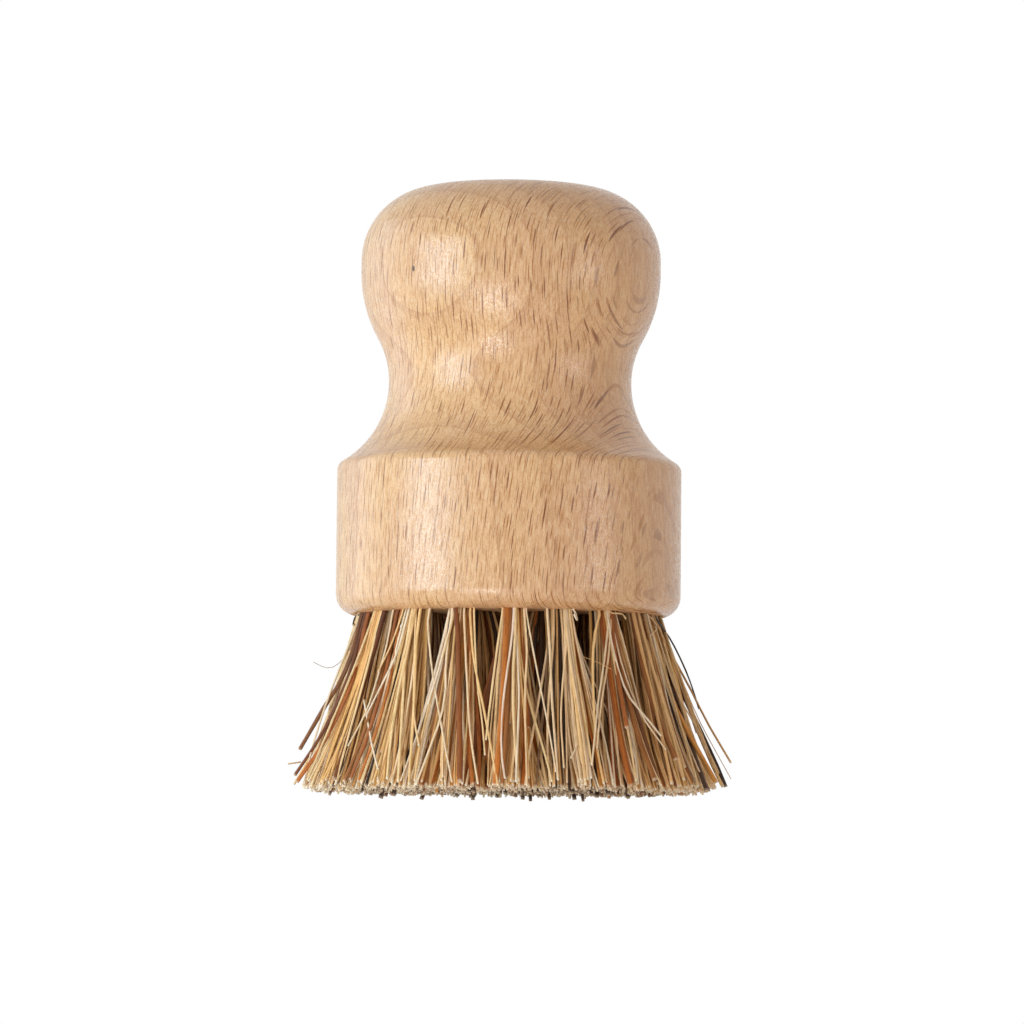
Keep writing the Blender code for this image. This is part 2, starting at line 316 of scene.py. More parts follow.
GOLDEN = (0.885, 0.534, 0.248)
PINKISH = (0.838, 0.492, 0.248)
LATE_WOOD = (0.640, 0.335, 0.155)
YEAR_LINE = (0.500, 0.215, 0.095)
DARK_STREAK = (0.570, 0.280, 0.105)
LIGHT_STREAK = (0.960, 0.685, 0.410)
PORE = (0.480, 0.205, 0.060)
SMALL_RAY = (0.390, 0.118, 0.003)
LARGE_RAY = (0.215, 0.048, 0.000)
# One dark speck on the left of the knob: its place, how fast it fades per metre, and its colour.
SPECK_PLACE = (-15.9, -19.1, 84.2)
SPECK_FADE = (2600.0, 2600.0, 1500.0)
SPECK = (0.035, 0.018, 0.008)
# How rough the waxed wood is, and how much its dimples and the bare underside add to that.
WAXED_ROUGHNESS = 0.12
DIMPLE_ROUGHNESS = 0.36
BARE_ROUGHNESS = 0.40
WAX_IOR = 1.56


def vector_calc(operation, *values):
    """One step of arithmetic on vectors."""
    return add_node("VectorMath", dict(enumerate(values)), operation=operation)[0]


def along(direction, vector, scale=1.0):
    """How far a vector reaches along a direction."""
    inputs = {0: vector, 1: direction * scale}
    return add_node("VectorMath", inputs, operation="DOT_PRODUCT")["Value"]


def grain_noise(paces, sideways, detail, roughness):
    """Noise in the wood, about 0 to 1. The paces are per mm inward, across and along the grain."""
    scaled = [times(value, pace) for value, pace in zip((depth, sideways, length), paces)]
    at = add_node("CombineXYZ", dict(enumerate(scaled)))[0]
    inputs = {"Vector": at, "Scale": 1.0, "Detail": detail, "Roughness": roughness}
    return add_node("TexNoise", inputs)["Fac"]


def between(value, low, high):
    """0 below low, 1 above high, smooth between."""
    inputs = {"Value": value, "From Min": low, "From Max": high}
    return add_node("MapRange", inputs, interpolation_type="SMOOTHSTEP")["Result"]


def blend(factor, first, second, how="MIX"):
    """Two colours mixed."""
    node = tree.nodes.new("ShaderNodeMix")
    node.data_type = "RGBA"
    node.blend_type = how
    for socket, value in zip((node.inputs[0], node.inputs[6], node.inputs[7]), (factor, first, second)):
        if isinstance(value, bpy.types.NodeSocket):
            tree.links.new(value, socket)
        else:
            socket.default_value = value if isinstance(value, float) else (*value, 1)
    return node.outputs[2]


def chances_at(*numbers):
    """Three random numbers from 0 to 1 that belong to a cell, given by its whole numbers."""
    at = add_node("CombineXYZ", dict(enumerate(numbers)))[0]
    return add_node("SeparateColor", {0: add_node("TexWhiteNoise", {"Vector": at})["Color"]})


def wood_rays(cell, half, strong, weak, shift):
    """Thin upright spindles, one in each cell of a staggered stack, each with its own strength.

    cell and half hold sizes: inward, across and along the grain. shift sets one stack of cells off
    from another.
    """
    across = calc("MULTIPLY_ADD", side_bent, 1.0 / cell[1], shift)
    column = calc("FLOOR", across)
    up = calc("MULTIPLY_ADD", length, 1.0 / cell[2], chances_at(column, shift, 0.5)[0])
    row = calc("FLOOR", up)
    inward = calc("MULTIPLY_ADD", depth, 1.0 / cell[0], chances_at(column, row, shift)[0])
    sheet = calc("FLOOR", inward)
    chances = chances_at(column, row, sheet)
    more = chances_at(column, sheet, row)
    # Each has its own place in its cell, and is 0.45 to 1 times as tall, and 0.55 to 1 times as wide,
    # as half says.
    across_middle = calc("MULTIPLY_ADD", chances[0], 0.66, 0.17)
    up_middle = calc("MULTIPLY_ADD", chances[1], 0.24, 0.38)
    gaps = []
    for value, middle, size in zip((inward, across, up), (0.5, across_middle, up_middle), cell):
        away = calc("SUBTRACT", calc("FRACT", value), middle)
        gaps.append(times(calc("ABSOLUTE", away), size))
    tall = times(calc("MULTIPLY_ADD", more[0], 0.55, 0.45), half[2])
    wide = times(calc("MULTIPLY_ADD", more[1], 0.45, 0.55), half[1])
    up_ends = calc("POWER", calc("DIVIDE", gaps[2], tall), 2.0)
    inward_ends = calc("POWER", calc("DIVIDE", gaps[0], half[0]), 4.0)
    room = calc("SUBTRACT", 1.0, calc("ADD", up_ends, inward_ends))
    room = calc("SUBTRACT", room, calc("DIVIDE", gaps[1], wide))
    strength = calc("MULTIPLY_ADD", chances[2], strong - weak, weak)
    return times(between(room, 0.0, 0.22), strength)


beech = bpy.data.materials.new("beech")
beech.use_nodes = True
tree = beech.node_tree
place = add_node("TexCoord")["Object"]
normal = add_node("TexCoord")["Normal"]
depth = along(RADIAL, place, 1 / MM)
side = along(ACROSS, place, 1 / MM)
length = along(GRAIN, place, 1 / MM)
# The lines in the wood wander sideways by up to about a millimetre.
wander = calc("SUBTRACT", grain_noise((0.06, 0.08, 0.04), side, 0.0, 0.5), 0.5)
side_bent = calc("MULTIPLY_ADD", wander, 2.4, side)

large = wood_rays((12.0, 1.65, 6.6), (5.9, 0.140, 3.00), 1.0, 0.50, 3.0)
large = calc("MAXIMUM", large, wood_rays((12.0, 1.30, 5.0), (5.9, 0.110, 2.20), 0.90, 0.35, 11.0))
small = wood_rays((9.0, 0.58, 4.4), (4.4, 0.088, 2.05), 0.95, 0.28, 23.0)
small = calc("MAXIMUM", small, wood_rays((10.0, 0.80, 6.5), (4.9, 0.080, 3.10), 0.85, 0.25, 41.0))
# Where the surface faces along the year rings, the rays lie flat in it and show less.
flat_on = between(calc("ABSOLUTE", along(ACROSS, normal)), 0.88, 0.99)
edge_on = calc("SUBTRACT", 1.0, times(flat_on, 0.55))

# Year rings: each darkens slowly towards its outer edge, and the next starts light.
pith = calc("SUBTRACT", PITH_DEPTH, depth)
from_pith = calc("SQRT", calc("ADD", calc("POWER", pith, 2.0), calc("POWER", side, 2.0)))
ring_at = calc("MULTIPLY_ADD", wander, 0.35, times(from_pith, 1.0 / YEAR_WIDTH))
year = calc("FRACT", calc("ADD", ring_at, 0.02))
late = calc("POWER", year, 2.5)
line = times(between(year, 0.93, 0.985), calc("SUBTRACT", 1.0, between(year, 0.990, 1.0)))

# Fine fibre streaks and pores, at about the scale of a tenth of a millimetre.
streak = grain_noise((3.2, 3.2, 0.42), side_bent, 3.0, 0.6)
pores = grain_noise((9.0, 9.0, 1.7), side_bent, 2.0, 0.6)
cloud = grain_noise((0.07, 0.09, 0.035), side, 2.0, 0.5)

wood = blend(between(cloud, 0.36, 0.64), GOLDEN, PINKISH)
wood = blend(times(late, 0.52), wood, LATE_WOOD)
wood = blend(times(line, 0.24), wood, YEAR_LINE)
wood = blend(times(between(streak, 0.50, 0.66), 0.54), wood, DARK_STREAK)
wood = blend(times(between(streak, 0.50, 0.34), 0.50), wood, LIGHT_STREAK)
wood = blend(times(between(pores, 0.54, 0.66), 0.50), wood, PORE)
wood = blend(times(small, edge_on), wood, SMALL_RAY)
wood = blend(times(large, edge_on), wood, LARGE_RAY)

apart = vector_calc("SUBTRACT", place, Vector(SPECK_PLACE) * MM)
apart = vector_calc("MULTIPLY", apart, SPECK_FADE)
away = add_node("VectorMath", {0: apart}, operation="LENGTH")["Value"]
wood = blend(times(calc("SUBTRACT", 1.0, between(away, 0.45, 1.0)), 0.9), wood, SPECK)

# The wax gives the turned faces a soft gloss. The drilled underside is bare and dull.
facing_down = times(add_node("SeparateXYZ", {0: normal})[2], -1.0)
dimples = grain_noise((3.4, 3.4, 2.6), side_bent, 2.0, 0.6)
waxed = calc("MULTIPLY_ADD", between(dimples, 0.46, 0.62), DIMPLE_ROUGHNESS, WAXED_ROUGHNESS)
rough = calc("MULTIPLY_ADD", between(facing_down, 0.93, 0.99), BARE_ROUGHNESS, waxed)
relief = calc("SUBTRACT", times(streak, 0.55), times(pores, 0.60))
relief = calc("MULTIPLY_ADD", dimples, 1.6, relief)
relief = calc("SUBTRACT", relief, times(large, 0.40))
bumped = add_node("Bump", {"Strength": 0.30, "Distance": 0.09 * MM, "Height": relief})[0]
finish = {"Base Color": wood, "Roughness": rough, "IOR": WAX_IOR, "Normal": bumped}
set_inputs(tree.nodes["Principled BSDF"], finish)

drilled.materials.clear()
drilled.materials.append(beech)
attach(block, "root")
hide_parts("handle_block")

# The anchors
# A small flat of drawn steel in each hole, hidden in the fold of its tuft. The part's own solids
# stay and get a brushed finish.

DARK_STEEL = (0.42, 0.42, 0.43)
LIGHT_STEEL = (0.66, 0.66, 0.67)
# How fast the drawing scratches change across and along the wire, per metre.
SCRATCH_PACE = (9000.0, 9000.0, 900.0)

steel = bpy.data.materials.new("anchor_steel")
steel.use_nodes = True
tree = steel.node_tree
drawn = vector_calc("MULTIPLY", add_node("TexCoord")["Object"], SCRATCH_PACE)
scratches = add_node("TexNoise", {"Vector": drawn, "Scale": 1.0, "Detail": 3.0})["Fac"]
brushed = blend(scratches, DARK_STEEL, LIGHT_STEEL)
rough = calc("MULTIPLY_ADD", scratches, 0.25, 0.25)
finish = {"Base Color": brushed, "Roughness": rough, "Metallic": 1.0}
set_inputs(tree.nodes["Principled BSDF"], finish)
for name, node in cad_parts.items():
    if name.startswith("anchor"):
        node.data.materials.clear()
        node.data.materials.append(steel)

# The fibres
# Two plant fibres mixed by hand: fine straw-coloured ones, which lie together in smooth bunches at
# the root, and thick brown ones, often flattened. Each tuft is folded over its anchor, and all the
# ends are trimmed level after the brush is filled.

SIDES = 6
# Where along each fibre its rings of points lie: evenly, with one more close to the cut end.
SHARES = np.append(np.linspace(0, 0.985, 11), 1.0)
# How many fibres a tuft holds, besides those that stand out.
FIBRES = {"outer": 76, "middle": 84, "inner": 96}
# Each bunch lies this many radians further round the tuft than the last, so that they spread evenly.
# The reaches are of a bunch from the tuft's middle, and of a fibre from its bunch's, where 1 is the
# tuft's edge.
BUNCHES = 7
BUNCH_STEP = 2.39996
BUNCH_REACH = 0.80
OWN_REACH = 0.36
LOOSE_SHARE = 0.42
# A kind is thick if its radius can pass this, and this share of the thick fibres gives way to fine
# ones, in these shares.
THICK_FROM = 0.27
THICK_SPARED = 0.45
FINE_SHARES = {"golden": 0.5, "cream": 0.3, "tan": 0.2}
# The fibres start this far up their hole, within this distance of its axis.
START_DEPTH = 2.5
START_REACH = 1.95
# How soon the fibres of a tuft part below the hole: the hidden tufts fill the brush from the root.
ROOT_LEAN = {"outer": 0.10, "middle": 0.75, "inner": 0.85}
# The tips lie this many times as far out as the holes' mouths, and none further than WIDEST.
TIP_SPREAD = 1 + UNDERSIDE / RAKE_APEX
WIDEST = 36.0
# How far a tuft's tips spread: of half the way to the next ring, and of half the way to the next
# tuft, or of WIDEST_TUFT where that is less.
OUTWARD_SHARE = {"outer": 0.92, "middle": 1.12, "inner": 1.12}
SIDEWAYS_SHARE = 1.12
WIDEST_TUFT = 8.0
# How much each tip varies from its place, and how far some of them stray sideways.
OUTWARD_VARIES = 0.60
SIDEWAYS_VARIES = 1.0
STRAY_SHARE = 0.18
STRAY_VARIES = 3.6
# The cut's level, how much it varies, and its limits. It turns up outside CUT_FLAT.
CUT_LEVEL = -0.25
CUT_VARIES = 0.20
CUT_LIMITS = (-0.75, 1.2)
CUT_FLAT = 32.0
CUT_SLOPE = 0.30
# This share of the dark fibres stands out below the cut.
PROUD_SHARE = 0.10
PROUD_BY = 0.9
# How much the ends flare outward and sway sideways, for 1 mm along the fibre.
FLARE = 0.11
FLARE_VARIES = 0.09
FLARE_SHARE = {"outer": 1.0, "middle": 0.5, "inner": 0.5}
SWAY_VARIES = 0.10
# For how much of its length a fibre is drawn the way that it starts, and the way that it ends.
START_DRAW = 0.36
END_DRAW = 0.34
# Some fibres are short, and reach only a part of the way.
SHORT_SHARE = 0.075
SHORT_REACH = (0.55, 0.95)
# How far the fibres wave, and in how many half turns.
WAVE_VARIES = 0.20
WAVE_TURNS = (0.7, 1.9)
FIRST_SEED = 4100


def linear(*shades):
    """Screen colours from 0 to 255 as the amounts of light that they stand for."""
    shades = np.array(shades, float) / 255
    return np.where(shades <= 0.04045, shades / 12.92, ((shades + 0.055) / 1.055) ** 2.4)


# For each kind: least and greatest radius, least and greatest width over thickness, and how much it
# waves.
KIND_SHAPES = {
    "cream": ((0.14, 0.23), (1.0, 1.3), 1.0),
    "golden": ((0.15, 0.25), (1.0, 1.4), 0.9),
    "tan": ((0.16, 0.27), (1.0, 1.6), 0.8),
    "orange": ((0.26, 0.44), (1.1, 1.9), 0.4),
    "red_brown": ((0.28, 0.46), (1.1, 1.8), 0.4),
    "dark": ((0.24, 0.40), (1.1, 1.7), 0.4),
    "grey_brown": ((0.18, 0.30), (1.0, 1.5), 0.6),
}
# The colours of each kind, as on a screen.
KIND_COLOURS = {
    "cream": linear((253, 225, 184), (253, 231, 198), (251, 218, 172), (247, 210, 160)),
    "golden": linear((252, 208, 142), (253, 217, 158), (249, 197, 122), (252, 211, 151), (247, 193, 122)),
    "tan": linear((220, 173, 114), (208, 162, 102), (230, 187, 130), (196, 153, 102)),
    "orange": linear((184, 108, 44), (164, 92, 38), (208, 144, 70), (156, 90, 42)),
    "red_brown": linear((128, 72, 30), (106, 58, 24), (146, 92, 46), (118, 74, 40)),
    "dark": linear((70, 46, 28), (52, 34, 22), (88, 60, 36), (64, 52, 42)),
    "grey_brown": linear((152, 120, 90), (130, 100, 72), (168, 138, 106)),
}
PALE_KINDS = ("cream", "golden", "tan")
# The share of each kind in a mix: cream, golden, tan, orange, red_brown, dark and grey_brown.
MIXES = {
    "mixed": (0.26, 0.36, 0.12, 0.05, 0.10, 0.08, 0.03),
    # The inside mix holds more brown and dark fibres than the brush has: painted shade for the hidden rings.
    "inside": (0.06, 0.10, 0.16, 0.08, 0.30, 0.24, 0.06),
    "golden": (0.27, 0.55, 0.07, 0.02, 0.06, 0.03, 0.0),
    "cream": (0.42, 0.27, 0.09, 0.03, 0.10, 0.07, 0.02),
    "brown": (0.20, 0.27, 0.15, 0.07, 0.18, 0.11, 0.02),
    "grey": (0.28, 0.24, 0.14, 0.03, 0.11, 0.13, 0.07),
}
# What the front tufts hold, from left to right in the photograph. The rest of the outer ring is
# mixed, and the hidden rings take the darker inside mix, a painted shade between the tufts.
TUFT_MIX = {
    "outer_14": "brown",
    "outer_15": "mixed",
    "outer_16": "cream",
    "outer_17": "golden",
    "outer_18": "cream",
    "outer_01": "golden",
    "outer_02": "grey",
    "outer_03": "golden",
    "outer_04": "mixed",
    "outer_05": "golden",
    "outer_06": "mixed",
}

# A cut end's heart and dark rim, on pale fibres and on brown ones. The heart takes this share of the
# fibre's radius, and its middle lies in by this share.
PALE_HEART = linear((254, 240, 212))[0]
PALE_DARK_SKIN = linear((96, 70, 48))[0]
BROWN_HEART = linear((248, 220, 184))[0]
BROWN_SKIN = linear((62, 44, 32))[0]
HEART_SHARE = 0.68
HEART_HOLLOW = 0.25
# Painted shade and painted light along the skin: darker by the root, where the head shades it, and
# paler towards the tip, at these shares of the fibre's length.
PAINTED_SHADE_AND_LIGHT_AT = ((0, 0.2, 0.5, 1), (0.76, 0.95, 1.06, 1.22))
# The most of any colour that a fibre's skin sends back, before its veins.
PALEST = 0.86

# Fibres that stand out in the photograph, each kept with the tuft that it grows from: its kind and
# which of its colours, its radius, whether it comes out of the hole, how far its first and last
# points stand in front of the others, and the pixels of the photograph that it passes.
STANDING_OUT = {
    "outer_15": [
        ("red_brown", 3, 0.38, True, (-0.3, 0.2),
         ((361, 618), (352, 654), (338, 686), (328, 701), (300, 749))),
        ("red_brown", 1, 0.30, True, (-0.5, 0.1), ((364, 620), (350, 672), (324, 730), (295, 775))),
        ("orange", 1, 0.36, True, (-0.6, 0.0), ((366, 622), (354, 675), (328, 735), (297, 782))),
        ("grey_brown", 0, 0.05, False, (-0.8, 0.2),
         ((352, 645), (350, 649), (338, 664), (327, 668), (313, 662))),
        ("dark", 0, 0.20, False, (-0.6, 0.2), ((364, 618), (359, 615), (355, 618), (353, 625))),
        ("tan", 3, 0.12, False, (-1.0, 0.3), ((301, 762), (288, 764))),
    ],
    "outer_16": [
        ("cream", 1, 0.17, False, (-1.0, 0.5), ((364, 700), (367, 717), (372, 745), (378, 769))),
        ("cream", 0, 0.15, True, (-0.2, 0.5), ((392, 616), (388, 640), (378, 676), (366, 712), (348, 746))),
        ("golden", 0, 0.14, True, (-0.2, 0.5), ((402, 614), (393, 640), (384, 660), (378, 672))),
        ("orange", 3, 0.30, True, (-0.6, -0.1), ((396, 618), (384, 680), (368, 735), (350, 780))),
        ("red_brown", 2, 0.30, True, (-0.6, -0.2), ((393, 618), (380, 680), (363, 735), (344, 782))),
        ("orange", 0, 0.26, True, (-0.7, -0.1), ((400, 618), (390, 680), (375, 735), (358, 782))),
    ],
    "outer_17": [
        ("cream", 0, 0.18, True, (-0.2, 0.6), ((428, 618), (429, 640), (434, 683), (445, 745), (452, 782))),
        ("golden", 1, 0.24, True, (-0.2, 0.3), ((412, 614), (406, 650), (403, 700), (398, 782))),
        ("golden", 0, 0.24, True, (-0.2, 0.3), ((420, 612), (416, 650), (414, 705), (409, 784))),
        ("cream", 1, 0.16, True, (-0.2, 0.7), ((408, 614), (396, 655), (376, 696), (366, 716))),
        ("golden", 3, 0.18, True, (-0.2, 0.6), ((416, 612), (414, 680), (414, 715), (419, 746))),
    ],
    "outer_18": [
        ("red_brown", 0, 0.50, True, (-0.2, 0.1), ((456, 608), (458, 650), (459, 700), (460, 782))),
        ("cream", 1, 0.17, True, (-0.2, 0.7), ((453, 612), (447, 640), (438, 672), (428, 704))),
        ("cream", 0, 0.19, True, (-0.2, 0.7), ((452, 612), (446, 660), (443, 709), (416, 785))),
        ("cream", 2, 0.20, True, (-0.2, 0.4), ((464, 610), (466, 660), (470, 730), (478, 784))),
        ("golden", 0, 0.20, True, (-0.2, 0.5), ((470, 610), (474, 660), (484, 710), (498, 786))),
        ("golden", 1, 0.16, True, (-0.2, 0.6), ((474, 610), (477, 680), (482, 720), (485, 755))),
    ],
    "outer_01": [
        ("orange", 0, 0.50, True, (-0.2, 0.2), ((507, 608), (505, 660), (501, 725), (495, 786))),
        ("red_brown", 2, 0.42, True, (-0.3, 0.1), ((511, 608), (509, 660), (506, 725), (502, 786))),
        ("cream", 1, 0.19, True, (-0.2, 0.6), ((514, 607), (517, 645), (519, 690), (518, 730), (516, 782))),
        ("golden", 1, 0.22, True, (-0.2, 0.4), ((503, 608), (497, 650), (490, 705), (486, 740))),
        ("cream", 3, 0.18, True, (-0.2, 0.4), ((524, 609), (527, 650), (525, 700), (527, 786))),
        ("cream", 0, 0.15, True, (-0.2, 0.6), ((526, 610), (536, 665), (549, 730), (556, 772))),
    ],
    "outer_02": [
        ("cream", 2, 0.22, True, (-0.2, 0.5), ((547, 608), (550, 652), (552, 699), (555, 740), (558, 780))),
        ("golden", 0, 0.26, True, (-0.2, 0.4), ((565, 608), (569, 650), (576, 705), (586, 785))),
        ("golden", 1, 0.24, True, (-0.2, 0.4), ((569, 608), (575, 660), (584, 715), (592, 765))),
        ("cream", 1, 0.15, False, (0.0, 0.6), ((571, 607), (575, 612), (577, 620), (574, 614))),
        ("cream", 3, 0.16, True, (-0.2, 0.5), ((570, 612), (563, 680), (561, 720), (564, 768))),
        ("cream", 0, 0.17, False, (-0.6, 0.6), ((581, 738), (576, 748), (571, 758))),
    ],
    "outer_03": [
        ("cream", 1, 0.20, True, (-0.2, 0.9),
         ((607, 612), (611, 640), (620, 675), (630, 698), (645, 716), (661, 736))),
        ("cream", 0, 0.18, True, (-0.2, 0.8), ((609, 614), (605, 655), (598, 705), (592, 765))),
        ("cream", 2, 0.18, True, (-0.2, 0.7), ((611, 614), (608, 660), (601, 705), (597, 748))),
        ("cream", 0, 0.16, True, (-0.2, 0.6), ((610, 614), (622, 665), (640, 712), (666, 750))),
        ("orange", 3, 0.40, True, (-0.3, 0.3), ((611, 618), (616, 665), (622, 700), (627, 728))),
        ("red_brown", 2, 0.48, True, (-0.5, 0.0), ((613, 618), (624, 680), (638, 735), (655, 780))),
        ("cream", 3, 0.12, False, (-0.4, 0.7),
         ((606, 612), (608, 609.5), (612, 613), (622, 614), (626, 619))),
        ("golden", 0, 0.20, True, (-0.2, 0.4), ((600, 612), (594, 640), (593, 680), (596, 740), (604, 784))),
    ],
    "outer_04": [
        ("tan", 0, 0.06, False, (-0.3, 0.6), ((584, 657), (597, 662), (611, 669))),
        ("tan", 2, 0.28, True, (-0.2, 0.3), ((638, 613), (650, 660), (664, 705), (684, 780))),
        ("tan", 0, 0.30, True, (-0.2, 0.3), ((633, 612), (645, 665), (656, 710), (672, 784))),
        ("red_brown", 2, 0.46, True, (-0.6, 0.1), ((634, 616), (646, 680), (658, 718), (676, 760))),
    ],
    "outer_05": [
        ("tan", 0, 0.20, True, (-0.3, 0.2), ((654, 618), (672, 655), (692, 692), (707, 722), (731, 763))),
        ("dark", 3, 0.13, True, (-0.3, 0.2), ((656, 618), (672, 642), (688, 676), (699, 709))),
        ("dark", 1, 0.38, True, (-2.8, 0.1), ((654, 622), (682, 692), (706, 742), (726, 787))),
        ("dark", 0, 0.42, True, (-2.8, 0.0), ((650, 624), (676, 700), (692, 748), (707, 791))),
        ("orange", 2, 0.46, True, (-1.8, 0.2), ((648, 618), (668, 690), (688, 732), (716, 783))),
        ("tan", 2, 0.08, True, (-0.4, 0.2), ((655, 620), (682, 680), (700, 722), (731, 779))),
        ("cream", 3, 0.14, True, (-0.3, 0.3), ((653, 620), (676, 690), (698, 730), (720, 775))),
        ("cream", 2, 0.12, False, (-0.4, 0.5), ((645, 613), (653, 620), (657, 628), (650, 636))),
    ],
}
# The width over thickness of those fibres, and the front that they lie on: its radius at the head,
# how much further out it is at the tips, and the power by which it gets there.
STANDING_WIDTH = 1.15
FRONT_RADIUS = 25.4
FRONT_FLARE = 10.6
FLARE_GROWTH = 1.15


def place_seen(pixel_x, pixel_y, away):
    """The point that lies at this pixel of the photograph, at this y."""
    right, up = pixel_x - PICTURE_SIDE / 2, PICTURE_SIDE / 2 - pixel_y
    right, up = (
        right * math.cos(CAMERA_ROLL) - up * math.sin(CAMERA_ROLL),
        right * math.sin(CAMERA_ROLL) + up * math.cos(CAMERA_ROLL),
    )
    ahead = away - CAMERA_PLACE[1]
    climb = ahead * math.tan(CAMERA_PITCH + math.atan(up / FOCAL_PIXELS))
    height = CAMERA_PLACE[2] + climb
    straight = ahead * math.cos(CAMERA_PITCH) + (height - CAMERA_PLACE[2]) * math.sin(CAMERA_PITCH)
    return (CAMERA_PLACE[0] + right * straight / FOCAL_PIXELS, away, height)


def on_front(pixel_x, pixel_y, proud):
    """The point on the front of the fibres, or this far in front of it, seen at this pixel.

    Its y depends on its height and the other way round, so both are found in a few rounds.
    """
    away = -25.0
    for _ in range(8):
        x, _, height = place_seen(pixel_x, pixel_y, away)
        fall = min(1.0, max(0.0, 1 - height / UNDERSIDE))
        reach = FRONT_RADIUS + FRONT_FLARE * fall**FLARE_GROWTH + proud
        away = -math.sqrt(max(reach**2 - x**2, 1.0))
    return place_seen(pixel_x, pixel_y, away)


def smooth_path(points):
    """The rings' middles on a smooth curve through the given points."""
    points = np.array(points, float)
    grown = np.vstack([2 * points[0] - points[1], points, 2 * points[-1] - points[-2]])
    steps = np.concatenate([[0], np.cumsum(np.linalg.norm(np.diff(points, axis=0), axis=1))])
    spots = np.interp(SHARES * steps[-1], steps, np.arange(len(points)))
    path = []
    for spot in spots:
        k = min(int(spot), len(points) - 2)
        s = spot - k
        a, b, c, d = grown[k : k + 4]
        square, cube = (2 * a - 5 * b + 4 * c - d) * s**2, (3 * b - a - 3 * c + d) * s**3
        path.append(0.5 * (2 * b + (c - a) * s + square + cube))
    return np.array(path)


def bezier(points, share):
    """Points on cubic curves. points is (4, n, 3), and share is (n, sections)."""
    s = share[..., None]
    a, b, c, d = [p[:, None, :] for p in points]
    return (1 - s) ** 3 * a + 3 * (1 - s) ** 2 * s * b + 3 * (1 - s) * s**2 * c + s**3 * d


def unit(vectors):
    """The same directions, with a length of 1."""
    return vectors / np.linalg.norm(vectors, axis=-1, keepdims=True)


def mixed_by_hand(mix, count, chance):
    """The kind of each fibre, and its place in the tuft: outward and sideways, each -1 to 1.

    Most fibres lie in bunches of one kind, and the rest are loose.
    """
    names = list(KIND_SHAPES)
    shares = np.array(MIXES[mix])
    shares = shares / shares.sum()
    bunch_angle = chance.uniform(0, 2 * math.pi) + np.arange(BUNCHES) * BUNCH_STEP
    bunch_reach = np.sqrt((np.arange(BUNCHES) + 0.5) / BUNCHES) * BUNCH_REACH
    bunch_kind = chance.choice(len(names), BUNCHES, p=shares)
    bunch = chance.integers(0, BUNCHES, count)
    loose = chance.uniform(size=count) < LOOSE_SHARE
    kind = np.where(loose, chance.choice(len(names), count, p=shares), bunch_kind[bunch])
    thick = np.array([KIND_SHAPES[names[k]][0][1] > THICK_FROM for k in kind])
    spared = chance.uniform(size=count) < THICK_SPARED
    fine = [names.index(name) for name in FINE_SHARES]
    kind = np.where(thick & spared, chance.choice(fine, count, p=list(FINE_SHARES.values())), kind)

    own_angle = chance.uniform(0, 2 * math.pi, count)
    own_reach = np.sqrt(chance.uniform(size=count)) * OWN_REACH
    turn, reach = bunch_angle[bunch], bunch_reach[bunch]
    spot = np.stack([reach * np.cos(turn), reach * np.sin(turn)], 1)
    spot += np.stack([own_reach * np.cos(own_angle), own_reach * np.sin(own_angle)], 1)
    over = np.maximum(1.0, np.linalg.norm(spot, axis=1))
    return [names[k] for k in kind], spot / over[:, None]


def cut_tips(ring, mouth, out, across, names, spot, chance):
    """Where the fibres of a tuft are cut."""
    count = len(names)
    tip_radius = (OUTER_RING - list(TUFTS_IN_RING).index(ring) * RING_PITCH) * TIP_SPREAD
    wide_out = RING_PITCH * TIP_SPREAD / 2 * OUTWARD_SHARE[ring]
    wide_across = min(tip_radius * math.sin(math.pi / TUFTS_IN_RING[ring]), WIDEST_TUFT) * SIDEWAYS_SHARE
    tip = np.array([mouth[0], mouth[1], 0.0]) * TIP_SPREAD
    tip = tip + out * spot[:, :1] * wide_out + across * spot[:, 1:] * wide_across
    stray = chance.uniform(size=count) < STRAY_SHARE
    outward = out * chance.normal(0, OUTWARD_VARIES, (count, 1))
    tip = tip + (outward + across * chance.normal(0, SIDEWAYS_VARIES, (count, 1)))
    tip = tip + across * (stray * chance.normal(0, STRAY_VARIES, count))[:, None]
    reach = np.hypot(tip[:, 0], tip[:, 1])
    tip[:, :2] *= np.minimum(1.0, WIDEST / reach)[:, None]
    rise = np.clip(chance.normal(CUT_LEVEL, CUT_VARIES, count), *CUT_LIMITS)
    proud = (np.array(names) == "dark") & (chance.uniform(size=count) < PROUD_SHARE)
    level = np.where(proud, rise - PROUD_BY, rise)
    tip[:, 2] = np.maximum(0.0, reach - CUT_FLAT) * CUT_SLOPE + level
    return tip


